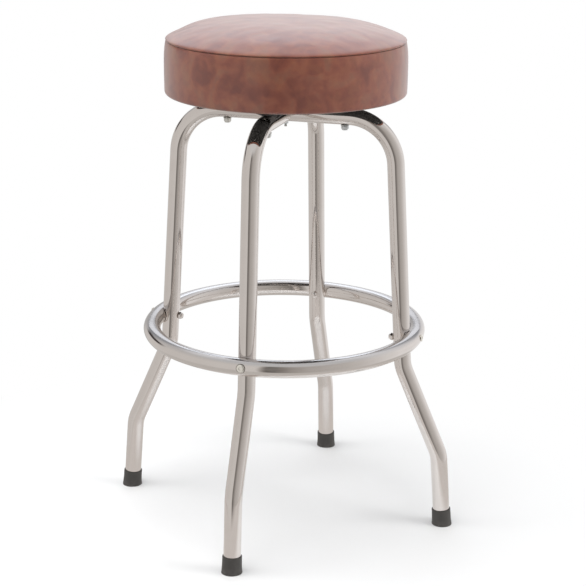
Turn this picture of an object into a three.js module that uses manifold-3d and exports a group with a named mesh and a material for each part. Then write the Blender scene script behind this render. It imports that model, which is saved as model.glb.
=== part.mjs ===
// Diner counter stool: two bent chrome tubes, a foot ring, a ball-bearing swivel
// and a round upholstered seat. Millimetres, +Z up, the floor is z = 0.
// The right leg stands on +X, the back leg on +Y, the left on -X, the front on -Y.
import * as THREE from "three";
import { mergeVertices } from "three/addons/utils/BufferGeometryUtils.js";
import Module from "manifold-3d";

const wasm = await Module();
wasm.setup();

// Fits shared by the whole stool
const restGap = 0.3; // between faces that rest on each other, and round a shank in its hole
const cutOverrun = 2; // how far a cut runs past the faces that it opens
const mergeDistance = 0.001; // corners closer than this are one corner

// Leg tubes, measured on their centrelines, from the floor up
const tubeRadius = 12.7;
const tubeWall = 1.5;
const lowerKinkHeight = 112;
const flareHeight = 136.1; // from the lower kink up to the upper kink
const upperLegHeight = 372.3; // from the upper kink up to the top span
const footSpread = 8.3; // how far the foot stands out past the lower kink
const flareSpread = 59.6; // how far the lower kink stands out past the upper one
const upperLegSpread = 22.3; // how far the upper kink stands out past the top corner
const lowerKinkBend = 57;
const upperKinkBend = 55.6;
const topBend = 71;
const boltToBend = 6.5; // straight tube left between a plate bolt and the top bend

// Foot ring
const ringTubeRadius = 12.7;
const ringTubeWall = 1.5;
const ringRise = 44.7; // above the upper kinks
const saddleDepth = 8.1; // how deep each leg is pressed in to seat the ring

// Rubber feet
const footHeight = 25;
const footPad = 4.2; // rubber under the end of the tube
const footTopWall = 1.2;
const footLipWall = 2.3;
const footLipHeight = 3;

// Bolts and nuts: the shank's radius, then the head or the nut
const m6Radius = 3;
const m6HeadRadius = 5.25;
const m6HeadHeight = 3.3;
const m6AcrossFlats = 10;
const ringHeadRadius = 5.9;
const ringHeadHeight = 1.3;
const capNutHexHeight = 3.6;
const capNutHeight = 7;
const capNutDomeRadius = 4.7;
const capNutBoreDepth = 4.8;
const lockNutHexHeight = 4.2;
const lockNutHeight = 5.8;
const lockNutCollarRadius = 4.4;
const washerRadius = 6.2;
const washerThickness = 1.2;
const threadProud = 0.4; // a plate bolt's end below its lock nut
const m4Radius = 2;
const m4HeadRadius = 4;
const m4HeadHeight = 2.6;
const m4AcrossFlats = 7;
const m4NutHeight = 3.2;
const m4ThreadProud = 4.5; // the cross bolt's end below its nut

// Swivel: two pressed plates with a ball race between them
const boltSquare = 127; // side of the square of plate holes
const plateEdge = 12.7; // from the hole square to the edge of the plate
const plateCorner = 9;
const plateThickness = 2.5;
const lowerCentreRise = 3;
const swivelHeight = 17; // over both plates, at their edges
const formInner = 52; // radius of the raised centre
const formOuter = 60; // radius where the pressed slope meets the flat
const formLap = 2; // flat rim that the pressed centre shares with the plate
const raceRadius = 43;
const raceGrooveHalf = 2.4;
const raceGrooveDepth = 1;
const ballRadius = 3.175;
const ballCount = 12;
const ballPlay = 0.1;
const cageThickness = 1.2;
const cageBand = 7; // cage metal on each side of the race circle
const pivotBore = 7;
const pivotWall = 1.5;
const pivotFlange = 4;
const pivotFlangeThickness = 1.5;

// Seat base: plywood board, tee nuts, screws and dust cover
const boardThickness = 12;
const teeFlangeRadius = 9.5;
const teeFlangeThickness = 1.5;
const teeBarrelWall = 0.9;
const teeBarrelLength = 8;
const coverThickness = 0.6;
const coverLap = 20; // dust cover under the turned-in edge of the side band
const coverStep = 3; // width of the slope where the cover steps down
const seatScrewHeadRadius = 6;
const seatScrewHeadHeight = 2.4;

// Cushion: foam in a sewn cover of a side band and a crowned top panel
const seatRadius = 177.5; // at the fullest part of the side band
const coverSkin = 1.2; // upholstery with its backing
const bandHeight = 77; // from the lower edge up to the seam
const bandLowerRound = 4;
const bandTurnIn = 22; // turned under the board and stapled
const bandLowerDraw = 0.4; // drawn in above the lower edge
const seamDraw = 2.9; // drawn in at the seam
const seamRound = 2.4;
const seamAllowance = 5;
const panelDraw = 1.9; // top panel's fullest radius inside the band's
const crownHeight = 26.6; // above the top panel's fullest ring
const crownFullness = 2.7;
const crownShoulder = 1.22;
const foamSkirt = 5.2; // foam between the board's edge and the band

// Places along the cushion, as shares
const bandHeightShares = [0.18, 0.5, 0.78, 0.92];
const bandDrawShares = [0.5, 0, 0.2, 0.55];
const crownRadiusShares = [0.99, 0.96, 0.9, 0.8, 0.65, 0.45, 0.22, 0];
const headDomeShares = [
  [1, 0.3],
  [0.78, 0.74],
  [0.42, 0.95],
];
const capDomeShares = [
  [1, 0.4],
  [0.7, 0.8],
];

// Counts of facets
const tubeSides = 12;
const boreSides = 8;
const topBendSteps = 6;
const kinkSteps = 2;
const ringSteps = 40;
const ringBoreSides = 6;
const seatSteps = 40;
const bandCornerSteps = 2;
const coverSteps = 20;
const plateSteps = 24;
const plateCornerSteps = 3;
const roundSteps = 10;
const pocketSides = 8;
const footSteps = 12;
const ballSteps = 8;
const ballRings = 4;
const hexSides = 6;

// Derived frame sizes
const quarterTurn = Math.PI / 2;
const upperLean = Math.atan(upperLegSpread / upperLegHeight);
const topTurn = quarterTurn - upperLean;
const boltReach = boltSquare / Math.SQRT2;
const topCornerReach = boltReach + boltToBend + topBend * Math.tan(topTurn / 2);
const upperKinkReach = topCornerReach + upperLegSpread;
const lowerKinkReach = upperKinkReach + flareSpread;
const footReach = lowerKinkReach + footSpread;
const footLean = Math.atan(footSpread / lowerKinkHeight);
const upperKinkHeight = lowerKinkHeight + flareHeight;
const spanHeight = upperKinkHeight + upperLegHeight;
const spanTop = spanHeight + tubeRadius;
const spanUnderside = spanHeight - tubeRadius;
const ringHeight = upperKinkHeight + ringRise;
const legReachAtRing = upperKinkReach - ringRise * Math.tan(upperLean);
const ringRadius = legReachAtRing + tubeRadius / Math.cos(upperLean) + ringTubeRadius - saddleDepth;
const capNutFace = legReachAtRing - tubeRadius - restGap;

// Derived swivel heights, from the top span up
const lowerPlateZ = spanTop + restGap;
const lowerPlateTop = lowerPlateZ + plateThickness;
const lowerCentreTop = lowerPlateTop + lowerCentreRise;
const upperPlateZ = lowerPlateZ + swivelHeight - plateThickness;
const upperPlateTop = lowerPlateZ + swivelHeight;
const grooveSlope = Math.atan(raceGrooveDepth / raceGrooveHalf);
const ballSeat = ballRadius / Math.cos(grooveSlope) + ballPlay;
const ballZ = lowerCentreTop - raceGrooveDepth + ballSeat;
const upperCentreZ = ballZ + ballSeat - raceGrooveDepth;
const upperCentreTop = upperCentreZ + plateThickness;
const pivotRadius = pivotBore + pivotWall;

// Derived seat heights and radii, from the swivel up
const coverZ = upperPlateTop + restGap;
const boardZ = coverZ + coverThickness + restGap;
const boardTop = boardZ + boardThickness;
const bandZ = boardZ - restGap - coverSkin;
const seamZ = bandZ + bandHeight;
const boardRadius = seatRadius - coverSkin - restGap - foamSkirt;
const bandInnerEdge = boardRadius - bandTurnIn;
const panelRadius = seatRadius - panelDraw;
const panelFullZ = seamZ + seamRound;

const chrome = new THREE.MeshStandardMaterial({ color: 0xcfc9c4, roughness: 0.12, metalness: 1 });
const zinc = new THREE.MeshStandardMaterial({ color: 0xb9bbbd, roughness: 0.35, metalness: 1 });
const blackSteel = new THREE.MeshStandardMaterial({ color: 0x1d1b1a, roughness: 0.5, metalness: 0.6 });
const rubber = new THREE.MeshStandardMaterial({ color: 0x2b2a29, roughness: 0.75, metalness: 0 });
const plywood = new THREE.MeshStandardMaterial({ color: 0xb58b5a, roughness: 0.8, metalness: 0 });
const foamStuff = new THREE.MeshStandardMaterial({ color: 0xe4d8a8, roughness: 0.95, metalness: 0 });
const cloth = new THREE.MeshStandardMaterial({ color: 0x161514, roughness: 0.95, metalness: 0 });
const brownHide = new THREE.MeshStandardMaterial({ color: 0x8a5a49, roughness: 0.45, metalness: 0 });

// The solid inside a closed geometry, for joining and cutting.
function solidOf(geometry) {
  const bare = geometry.clone();
  bare.deleteAttribute("normal");
  bare.deleteAttribute("uv");
  const merged = mergeVertices(bare, mergeDistance);
  return new wasm.Manifold(
    new wasm.Mesh({
      numProp: 3,
      vertProperties: merged.attributes.position.array,
      triVerts: new Uint32Array(merged.index.array),
    }),
  );
}

function geometryOf(solid) {
  const { vertProperties, triVerts } = solid.getMesh();
  const geometry = new THREE.BufferGeometry();
  geometry.setAttribute("position", new THREE.BufferAttribute(vertProperties, 3));
  geometry.setIndex(new THREE.BufferAttribute(triVerts, 1));
  return geometry;
}

function piece(name, geometry, material) {
  const mesh = new THREE.Mesh(geometry, material);
  mesh.name = name;
  return mesh;
}

// A shape turned round the Z axis from [radius, height] points, up its outer wall.
function turned(points, steps) {
  const profile = points.map(([r, z]) => new THREE.Vector2(r, z));
  return new THREE.LatheGeometry(profile, steps).rotateX(quarterTurn);
}

// A turned shape whose profile has a hole in its middle and closes on itself.
function turnedRing(points, steps) {
  return turned([...points, points[0]], steps);
}

// A round or hexagonal bar along Z, from one height up to another.
function bar(radius, low, high, sides) {
  return turned([[0, low], [radius, low], [radius, high], [0, high]], sides);
}

function hexBar(acrossFlats, low, high) {
  return bar(acrossFlats / 2 / Math.cos(Math.PI / hexSides), low, high, hexSides);
}

// The same bar laid along X, from one reach out to another.
function radialBar(radius, near, far, sides) {
  return bar(radius, near, far, sides).rotateY(quarterTurn);
}

// Turns what lies along X square to the leaning leg, about the leg's middle at the ring.
function squareToLeg(geometry) {
  return geometry.translate(-legReachAtRing, 0, 0).rotateY(-upperLean).translate(legReachAtRing, 0, 0);
}

function circleShape(radius, sides) {
  const corners = Array.from({ length: sides }, (_, i) => {
    const angle = (2 * Math.PI * i) / sides;
    return new THREE.Vector2(radius * Math.cos(angle), radius * Math.sin(angle));
  });
  return new THREE.Shape(corners);
}

// A path through stations, each a point and the direction of travel there.
class StationPath extends THREE.Curve {
  constructor(stations) {
    super();
    this.stations = stations;
  }
  getUtoTmapping(u) {
    return u;
  }
  getPoint(t) {
    return this.stationAt(t).point.clone();
  }
  getTangent(t) {
    return this.stationAt(t).heading.clone();
  }
  stationAt(t) {
    return this.stations[Math.round(t * (this.stations.length - 1))];
  }
}

// The stations of a corner at [reach, height], rounded to a bend, between two others.
function bendStations(before, corner, after, bend, steps) {
  const inward = corner.clone().sub(before).normalize();
  const onward = after.clone().sub(corner).normalize();
  const turn = inward.angleTo(onward);
  const start = corner.clone().addScaledVector(inward, -bend * Math.tan(turn / 2));
  const side = onward.clone().addScaledVector(inward, -inward.dot(onward)).normalize();
  return Array.from({ length: steps + 1 }, (_, i) => {
    const angle = (turn * i) / steps;
    return {
      point: start
        .clone()
        .addScaledVector(inward, bend * Math.sin(angle))
        .addScaledVector(side, bend * (1 - Math.cos(angle))),
      heading: inward
        .clone()
        .multiplyScalar(Math.cos(angle))
        .addScaledVector(side, Math.sin(angle)),
    };
  });
}

// The bent centreline of one leg tube in the XZ plane: up one leg, across, down the other.
function legPath(endTrim) {
  const half = [
    [footReach, 0],
    [lowerKinkReach, lowerKinkHeight],
    [upperKinkReach, upperKinkHeight],
    [topCornerReach, spanHeight],
  ].map(([x, z]) => new THREE.Vector3(x, 0, z));
  const mirrored = half.map((p) => new THREE.Vector3(-p.x, 0, p.z)).reverse();
  const corners = [...half, ...mirrored];
  const bends = [0, lowerKinkBend, upperKinkBend, topBend, topBend, upperKinkBend, lowerKinkBend, 0];
  const steps = [0, kinkSteps, kinkSteps, topBendSteps, topBendSteps, kinkSteps, kinkSteps, 0];
  const stations = [];
  corners.forEach((corner, i) => {
    const before = corners[i - 1];
    const after = corners[i + 1];
    if (!before || !after) {
      const neighbour = before ?? after;
      const heading = neighbour.clone().sub(corner).normalize();
      const point = corner.clone().addScaledVector(heading, endTrim);
      stations.push({ point, heading: before ? heading.clone().negate() : heading });
      return;
    }
    stations.push(...bendStations(before, corner, after, bends[i], steps[i]));
  });
  return new StationPath(stations);
}

function alongLeg(radius, sides, endTrim) {
  const path = legPath(endTrim);
  const steps = path.stations.length - 1;
  return new THREE.ExtrudeGeometry(circleShape(radius, sides), {
    steps,
    bevelEnabled: false,
    extrudePath: path,
  });
}

function torus(radius, tube, sides) {
  const points = circleShape(tube, sides)
    .getPoints()
    .slice(0, sides)
    .map((p) => [radius + p.x, p.y]);
  return turnedRing(points, ringSteps);
}

// The wedge that presses one tube flat where the other crosses it, with sloped sides.
function crossingWedge(clearance) {
  const narrow = tubeRadius + restGap + clearance;
  const drop = tubeRadius + cutOverrun;
  const wide = narrow + drop;
  const outline = new THREE.Shape([
    new THREE.Vector2(-narrow, -clearance),
    new THREE.Vector2(narrow, -clearance),
    new THREE.Vector2(wide, drop),
    new THREE.Vector2(-wide, drop),
  ]);
  const depth = 2 * (tubeRadius + cutOverrun);
  return new THREE.ExtrudeGeometry(outline, { depth, bevelEnabled: false })
    .rotateX(quarterTurn)
    .translate(0, depth / 2, -restGap / 2);
}

// One bent tube with its two legs. The tube that crosses above keeps its upper half there.
function legTube(name, crossesAbove) {
  const flip = crossesAbove ? Math.PI : 0;
  const wedge = (clearance) =>
    solidOf(crossingWedge(clearance).rotateX(flip).translate(0, 0, spanHeight));
  const saddle = (clearance) =>
    solidOf(torus(ringRadius, ringTubeRadius + restGap + clearance, tubeSides).translate(0, 0, ringHeight));
  const endTrim = footPad + restGap;
  const skin = solidOf(alongLeg(tubeRadius, tubeSides, endTrim))
    .subtract(wedge(0))
    .subtract(saddle(0));
  const bore = solidOf(alongLeg(tubeRadius - tubeWall, boreSides, endTrim - cutOverrun))
    .subtract(wedge(tubeWall))
    .subtract(saddle(tubeWall));
  let tube = skin.subtract(bore);
  const low = spanUnderside - cutOverrun;
  const high = spanTop + cutOverrun;
  const near = legReachAtRing - tubeRadius - cutOverrun;
  for (const side of [1, -1]) {
    const plateHole = bar(m6Radius + restGap, low, high, roundSteps).translate(side * boltReach, 0, 0);
    const ringHole = squareToLeg(radialBar(m6Radius + restGap, near, ringRadius, roundSteps))
      .rotateZ(side > 0 ? 0 : Math.PI)
      .translate(0, 0, ringHeight);
    tube = tube.subtract(solidOf(plateHole)).subtract(solidOf(ringHole));
  }
  tube = tube.subtract(solidOf(bar(m4Radius + restGap, low, high, roundSteps)));
  return piece(name, geometryOf(tube), chrome);
}

function footRing() {
  let ring = solidOf(torus(ringRadius, ringTubeRadius, tubeSides));
  ring = ring.subtract(solidOf(torus(ringRadius, ringTubeRadius - ringTubeWall, ringBoreSides)));
  const reach = ringTubeRadius + cutOverrun;
  for (let leg = 0; leg < 4; leg++) {
    const hole = radialBar(m6Radius + restGap, ringRadius - reach, ringRadius + reach, roundSteps);
    ring = ring.subtract(solidOf(squareToLeg(hole).rotateZ(leg * quarterTurn)));
  }
  const mesh = piece("foot_ring", geometryOf(ring), chrome);
  mesh.position.z = ringHeight;
  return mesh;
}

// A moulded rubber cap on the end of a leg, leaning with it and cut level by the floor.
function rubberFoot(name) {
  const bore = tubeRadius + restGap;
  const below = bore * Math.tan(footLean) + footLipWall;
  const cup = turned(
    [
      [0, -below],
      [bore + footLipWall, -below],
      [bore + footLipWall, footLipHeight],
      [bore + footTopWall, footLipHeight + footLipWall],
      [bore + footTopWall, footHeight],
      [bore, footHeight],
      [bore, footPad],
      [0, footPad],
    ],
    footSteps,
  ).rotateY(-footLean);
  const floorBlock = bar(2 * (bore + footLipWall), -footHeight, 0, footSteps);
  const mesh = piece(name, geometryOf(solidOf(cup).subtract(solidOf(floorBlock))), rubber);
  mesh.position.x = footReach;
  return mesh;
}

// A round-headed screw: the head stands on z = 0 and the shank runs down from it.
function roundScrew(shankRadius, shankLength, headRadius, headHeight) {
  const dome = headDomeShares.map(([r, h]) => [headRadius * r, headHeight * h]);
  return turned(
    [
      [0, -shankLength],
      [shankRadius, -shankLength],
      [shankRadius, 0],
      [headRadius, 0],
      ...dome,
      [0, headHeight],
    ],
    roundSteps,
  );
}

function ringBolt(name) {
  const ringOffset = (ringRadius - legReachAtRing) * Math.cos(upperLean);
  const headFace = legReachAtRing + ringOffset + ringTubeRadius + restGap;
  const length = headFace - capNutFace + capNutBoreDepth - cutOverrun;
  const screw = roundScrew(m6Radius, length, ringHeadRadius, ringHeadHeight);
  const mesh = piece(name, squareToLeg(screw.rotateY(quarterTurn).translate(headFace, 0, 0)), chrome);
  mesh.position.z = ringHeight;
  return mesh;
}

// A domed nut with a blind bore, its face towards the leg.
function capNut(name) {
  const domeHeight = capNutHeight - capNutHexHeight;
  const crown = capDomeShares.map(([r, h]) => [capNutDomeRadius * r, capNutHexHeight + domeHeight * h]);
  const dome = turned([[0, 0], [capNutDomeRadius, 0], ...crown, [0, capNutHeight]], roundSteps);
  const bore = bar(m6Radius + restGap, -cutOverrun, capNutBoreDepth, roundSteps);
  const nut = solidOf(hexBar(m6AcrossFlats, 0, capNutHexHeight)).add(solidOf(dome)).subtract(solidOf(bore));
  const seated = geometryOf(nut).rotateY(-quarterTurn).translate(capNutFace, 0, 0);
  const mesh = piece(name, squareToLeg(seated), chrome);
  mesh.position.z = ringHeight;
  return mesh;
}

function plateBolt(name) {
  const headFace = lowerPlateTop + restGap;
  const nutEnd = spanUnderside - washerThickness - lockNutHeight - 2 * restGap;
  const screw = roundScrew(m6Radius, headFace - nutEnd + threadProud, m6HeadRadius, m6HeadHeight);
  const mesh = piece(name, screw, zinc);
  mesh.position.set(boltReach, 0, headFace);
  return mesh;
}

function plateWasher(name) {
  const bore = m6Radius + restGap;
  const ring = [
    [bore, -washerThickness],
    [washerRadius, -washerThickness],
    [washerRadius, 0],
    [bore, 0],
  ];
  const mesh = piece(name, turnedRing(ring, roundSteps), zinc);
  mesh.position.set(boltReach, 0, spanUnderside - restGap);
  return mesh;
}

// A lock nut hangs under its washer, with the round collar at the bottom.
function plateLockNut(name) {
  const collar = bar(lockNutCollarRadius, -lockNutHeight, -lockNutHexHeight / 2, roundSteps);
  const bore = bar(m6Radius + restGap, -lockNutHeight - cutOverrun, cutOverrun, roundSteps);
  const hex = solidOf(hexBar(m6AcrossFlats, -lockNutHexHeight, 0));
  const nut = hex.add(solidOf(collar)).subtract(solidOf(bore));
  const mesh = piece(name, geometryOf(nut), zinc);
  mesh.position.set(boltReach, 0, spanUnderside - washerThickness - 2 * restGap);
  return mesh;
}

// The bolt that holds the two tubes together where they cross, and its nut.
function crossBolt() {
  const headFace = spanTop + restGap;
  const nutEnd = spanUnderside - restGap - m4NutHeight;
  const screw = roundScrew(m4Radius, headFace - nutEnd + m4ThreadProud, m4HeadRadius, m4HeadHeight);
  const mesh = piece("cross_bolt", screw, zinc);
  mesh.position.z = headFace;
  return mesh;
}

function crossNut() {
  const bore = bar(m4Radius + restGap, -m4NutHeight - cutOverrun, cutOverrun, roundSteps);
  const nut = solidOf(hexBar(m4AcrossFlats, -m4NutHeight, 0)).subtract(solidOf(bore));
  const mesh = piece("cross_bolt_nut", geometryOf(nut), zinc);
  mesh.position.z = spanUnderside - restGap;
  return mesh;
}

function roundedSquare(side, corner) {
  const shape = new THREE.Shape();
  const flat = side / 2 - corner;
  [0, 1, 2, 3].forEach((i) => {
    const turn = i * quarterTurn;
    const x = flat * (Math.cos(turn) - Math.sin(turn));
    const y = flat * (Math.cos(turn) + Math.sin(turn));
    shape.absarc(x, y, corner, turn, turn + quarterTurn, false);
  });
  return shape;
}

// A square plate whose middle is pressed up or down to carry one half of the ball race.
// Its points are [radius, height of the lower face] from the pivot hole outward.
function swivelPlate(name, z, centreShift, grooveShift) {
  const flat = new THREE.ExtrudeGeometry(roundedSquare(boltSquare + 2 * plateEdge, plateCorner), {
    depth: plateThickness,
    bevelEnabled: false,
    curveSegments: plateCornerSteps,
  });
  const lower = [
    [pivotRadius + restGap, centreShift],
    [raceRadius - raceGrooveHalf, centreShift],
    [raceRadius, centreShift + grooveShift],
    [raceRadius + raceGrooveHalf, centreShift],
    [formInner, centreShift],
    [formOuter, 0],
    [formOuter + formLap, 0],
  ];
  const upper = lower.map(([r, h]) => [r, h + plateThickness]).reverse();
  const opening = bar(formOuter + formLap / 2, -cutOverrun, plateThickness + cutOverrun, plateSteps);
  const centre = solidOf(turnedRing([...lower, ...upper], plateSteps));
  let plate = solidOf(flat).subtract(solidOf(opening)).add(centre);
  const hole = bar(m6Radius + restGap, -cutOverrun, plateThickness + cutOverrun, roundSteps);
  for (const [x, y] of [[1, 1], [-1, 1], [-1, -1], [1, -1]]) {
    const place = hole.clone().translate((x * boltSquare) / 2, (y * boltSquare) / 2, 0);
    plate = plate.subtract(solidOf(place));
  }
  const mesh = piece(name, geometryOf(plate), blackSteel);
  mesh.rotation.z = quarterTurn / 2;
  mesh.position.z = z;
  return mesh;
}

// A hollow rivet through both plates. Its rims hold them together on the balls.
function swivelPivot() {
  const rim = pivotRadius + pivotFlange;
  const lowRim = lowerCentreTop - plateThickness - restGap;
  const highRim = upperCentreTop + restGap;
  const profile = [
    [pivotBore, lowRim - pivotFlangeThickness],
    [rim, lowRim - pivotFlangeThickness],
    [rim, lowRim],
    [pivotRadius, lowRim],
    [pivotRadius, highRim],
    [rim, highRim],
    [rim, highRim + pivotFlangeThickness],
    [pivotBore, highRim + pivotFlangeThickness],
  ];
  return piece("swivel_pivot", turnedRing(profile, roundSteps), zinc);
}

function ballAngle(index) {
  return (2 * Math.PI * (index + 0.5)) / ballCount;
}

function ballCage() {
  const half = cageThickness / 2;
  const inner = raceRadius - cageBand;
  const outer = raceRadius + cageBand;
  let cage = solidOf(turnedRing([[inner, -half], [outer, -half], [outer, half], [inner, half]], plateSteps));
  for (let i = 0; i < ballCount; i++) {
    const pocket = bar(ballRadius + restGap, -cageThickness, cageThickness, pocketSides);
    cage = cage.subtract(solidOf(pocket.translate(raceRadius, 0, 0).rotateZ(ballAngle(i))));
  }
  const mesh = piece("ball_cage", geometryOf(cage), zinc);
  mesh.position.z = ballZ;
  return mesh;
}

function swivelBalls() {
  return Array.from({ length: ballCount }, (_, i) => {
    const label = String(i + 1).padStart(2, "0");
    const ball = new THREE.SphereGeometry(ballRadius, ballSteps, ballRings);
    const mesh = piece("swivel_ball_" + label, ball, zinc);
    mesh.position.set(raceRadius * Math.cos(ballAngle(i)), raceRadius * Math.sin(ballAngle(i)), ballZ);
    return mesh;
  });
}

// A screw up through the upper plate and the dust cover into its tee nut.
function seatScrew(name) {
  const length = boardTop - teeFlangeThickness - upperPlateZ;
  const screw = roundScrew(m6Radius, length, seatScrewHeadRadius, seatScrewHeadHeight);
  const mesh = piece(name, screw.rotateX(Math.PI), zinc);
  mesh.position.set(boltReach, 0, upperPlateZ - restGap);
  return mesh;
}

// A flanged threaded barrel pressed into the board from above.
function teeNut(name) {
  const bore = m6Radius + restGap;
  const barrel = bore + teeBarrelWall;
  const profile = [
    [bore, -teeFlangeThickness - teeBarrelLength],
    [barrel, -teeFlangeThickness - teeBarrelLength],
    [barrel, -teeFlangeThickness],
    [teeFlangeRadius, -teeFlangeThickness],
    [teeFlangeRadius, 0],
    [bore, 0],
  ];
  const mesh = piece(name, turnedRing(profile, roundSteps), zinc);
  mesh.position.set(boltReach, 0, boardTop);
  return mesh;
}

function seatBoard() {
  let board = solidOf(bar(boardRadius, 0, boardThickness, seatSteps));
  const barrel = m6Radius + 2 * restGap + teeBarrelWall;
  const pocketDepth = teeFlangeThickness + restGap;
  for (let i = 0; i < 4; i++) {
    const hole = bar(barrel, -cutOverrun, boardThickness + cutOverrun, roundSteps);
    const pocket = bar(
      teeFlangeRadius + restGap,
      boardThickness - pocketDepth,
      boardThickness + cutOverrun,
      roundSteps,
    );
    for (const cut of [hole, pocket]) {
      board = board.subtract(solidOf(cut.translate(boltReach, 0, 0).rotateZ(i * quarterTurn)));
    }
  }
  const mesh = piece("seat_board", geometryOf(board), plywood);
  mesh.position.z = boardZ;
  return mesh;
}

// Black cloth under the board. Its edge steps down to lie over the turned-in band.
function dustCover() {
  const step = -(coverSkin + restGap);
  const edge = bandInnerEdge + coverLap;
  const stepStart = bandInnerEdge - coverStep - restGap;
  const stepEnd = bandInnerEdge - restGap;
  const disc = turned(
    [
      [0, 0],
      [stepStart, 0],
      [stepEnd, step],
      [edge, step],
      [edge, step + coverThickness],
      [stepEnd + coverThickness / 2, step + coverThickness],
      [stepStart + coverThickness / 2, coverThickness],
      [0, coverThickness],
    ],
    coverSteps,
  );
  let cover = solidOf(disc);
  for (let i = 0; i < 4; i++) {
    const hole = bar(m6Radius + restGap, step, coverThickness + cutOverrun, roundSteps);
    cover = cover.subtract(solidOf(hole.translate(boltReach, 0, 0).rotateZ(i * quarterTurn)));
  }
  const mesh = piece("dust_cover", geometryOf(cover), cloth);
  mesh.position.z = coverZ;
  return mesh;
}

// The line that lies a given distance to the left of a line of [radius, height] points.
// An end on the axis stays on it.
function inside(points, distance) {
  const at = points.map(([r, z]) => new THREE.Vector2(r, z));
  return at.map((p, i) => {
    if (p.x === 0) return [0, p.y - distance];
    const into = (at[i - 1] ? p.clone().sub(at[i - 1]) : at[i + 1].clone().sub(p)).normalize();
    const out = (at[i + 1] ? at[i + 1].clone().sub(p) : into.clone()).normalize();
    const along = into.clone().add(out).normalize();
    const reach = distance / along.dot(into);
    return [p.x - along.y * reach, p.y + along.x * reach];
  });
}

// A turned skin behind a line. One whose line ends on the axis needs no closing edge.
function sheet(points, thickness) {
  const profile = [...inside(points, thickness).reverse(), ...points];
  const turn = points.at(-1)[0] === 0 ? turned : turnedRing;
  return turn(profile, seatSteps);
}

// The outer face of the side band, from its turned-in edge up to the seam allowance.
function bandLine() {
  const lowRadius = seatRadius - bandLowerDraw;
  const corner = Array.from({ length: bandCornerSteps + 1 }, (_, i) => {
    const angle = (quarterTurn * i) / bandCornerSteps;
    return [
      lowRadius - bandLowerRound * (1 - Math.sin(angle)),
      bandZ + bandLowerRound * (1 - Math.cos(angle)),
    ];
  });
  const side = bandHeightShares.map((share, i) => {
    const draw = share < bandHeightShares[1] ? bandLowerDraw : seamDraw;
    return [seatRadius - draw * bandDrawShares[i], bandZ + bandHeight * share];
  });
  const seamTop = seamZ - restGap / 2;
  return [
    [bandInnerEdge, bandZ],
    ...corner,
    ...side,
    [seatRadius - seamDraw, seamTop - seamRound / 3],
    [seatRadius - seamDraw - seamRound / 2, seamTop],
    [seatRadius - seamDraw - seamRound / 2 - seamAllowance, seamTop],
  ];
}

// The outer face of the top panel, from its seam allowance out, up and over to the middle.
function panelLine() {
  const seamBase = seamZ + restGap / 2;
  const seamRadius = seatRadius - seamDraw - seamRound / 2;
  const crown = crownRadiusShares.map((share) => {
    const rise = (1 - share ** crownFullness) ** (1 / crownShoulder);
    return [panelRadius * share, panelFullZ + crownHeight * rise];
  });
  return [
    [seamRadius - seamAllowance, seamBase],
    [seamRadius, seamBase],
    [seatRadius - seamDraw, seamBase + seamRound / 3],
    [panelRadius, panelFullZ],
    ...crown,
  ];
}

// Foam that fills the cover, wraps the board's edge and makes room for the seam allowances.
function seatFoam() {
  const depth = coverSkin + restGap;
  const band = inside(bandLine(), depth).slice(bandCornerSteps + 1, -1);
  const panel = inside(panelLine(), depth).slice(1);
  const notchRadius = seatRadius - seamDraw - seamRound / 2 - seamAllowance - restGap;
  const notch = depth + restGap / 2;
  const skirtRadius = boardRadius + restGap;
  const profile = [
    [0, boardTop + restGap],
    [skirtRadius, boardTop + restGap],
    [skirtRadius, bandZ + bandLowerRound],
    ...band,
    [notchRadius, seamZ - notch],
    [notchRadius, seamZ + notch],
    ...panel,
  ];
  return piece("seat_foam", turned(profile, seatSteps), foamStuff);
}

// The four legs, by name and by the turn from the right leg
const legs = [
  ["right", 0],
  ["back", quarterTurn],
  ["left", Math.PI],
  ["front", -quarterTurn],
];

function perLeg(make) {
  return legs.map(([name, angle]) => {
    const side = new THREE.Group();
    side.rotation.z = angle;
    side.add(...make(name));
    return side;
  });
}

function frameAssembly() {
  const assembly = new THREE.Group();
  const leftRight = legTube("leg_tube_left_right", false);
  const frontBack = legTube("leg_tube_front_back", true);
  frontBack.rotation.z = quarterTurn;
  assembly.add(leftRight, frontBack, footRing(), crossBolt(), crossNut());
  assembly.add(
    ...perLeg((name) => [
      rubberFoot("rubber_foot_" + name),
      ringBolt("ring_bolt_" + name),
      capNut("ring_cap_nut_" + name),
      plateBolt("plate_bolt_" + name),
      plateWasher("plate_washer_" + name),
      plateLockNut("plate_lock_nut_" + name),
    ]),
  );
  return assembly;
}

function swivelAssembly() {
  const assembly = new THREE.Group();
  const upperShift = upperCentreZ - upperPlateZ;
  assembly.add(
    swivelPlate("swivel_lower_plate", lowerPlateZ, lowerCentreRise, -raceGrooveDepth),
    swivelPlate("swivel_upper_plate", upperPlateZ, upperShift, raceGrooveDepth),
    swivelPivot(),
    ballCage(),
    ...swivelBalls(),
  );
  return assembly;
}

function seatAssembly() {
  const assembly = new THREE.Group();
  assembly.add(
    seatBoard(),
    dustCover(),
    seatFoam(),
    piece("seat_side_band", sheet(bandLine(), coverSkin), brownHide),
    piece("seat_top_panel", sheet(panelLine(), coverSkin), brownHide),
    ...perLeg((name) => [seatScrew("seat_screw_" + name), teeNut("tee_nut_" + name)]),
  );
  return assembly;
}

const stool = new THREE.Group();
stool.add(frameAssembly(), swivelAssembly(), seatAssembly());

export default stool;
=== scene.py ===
import math

import bmesh
import bpy
from mathutils import Matrix, Vector, noise


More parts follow.
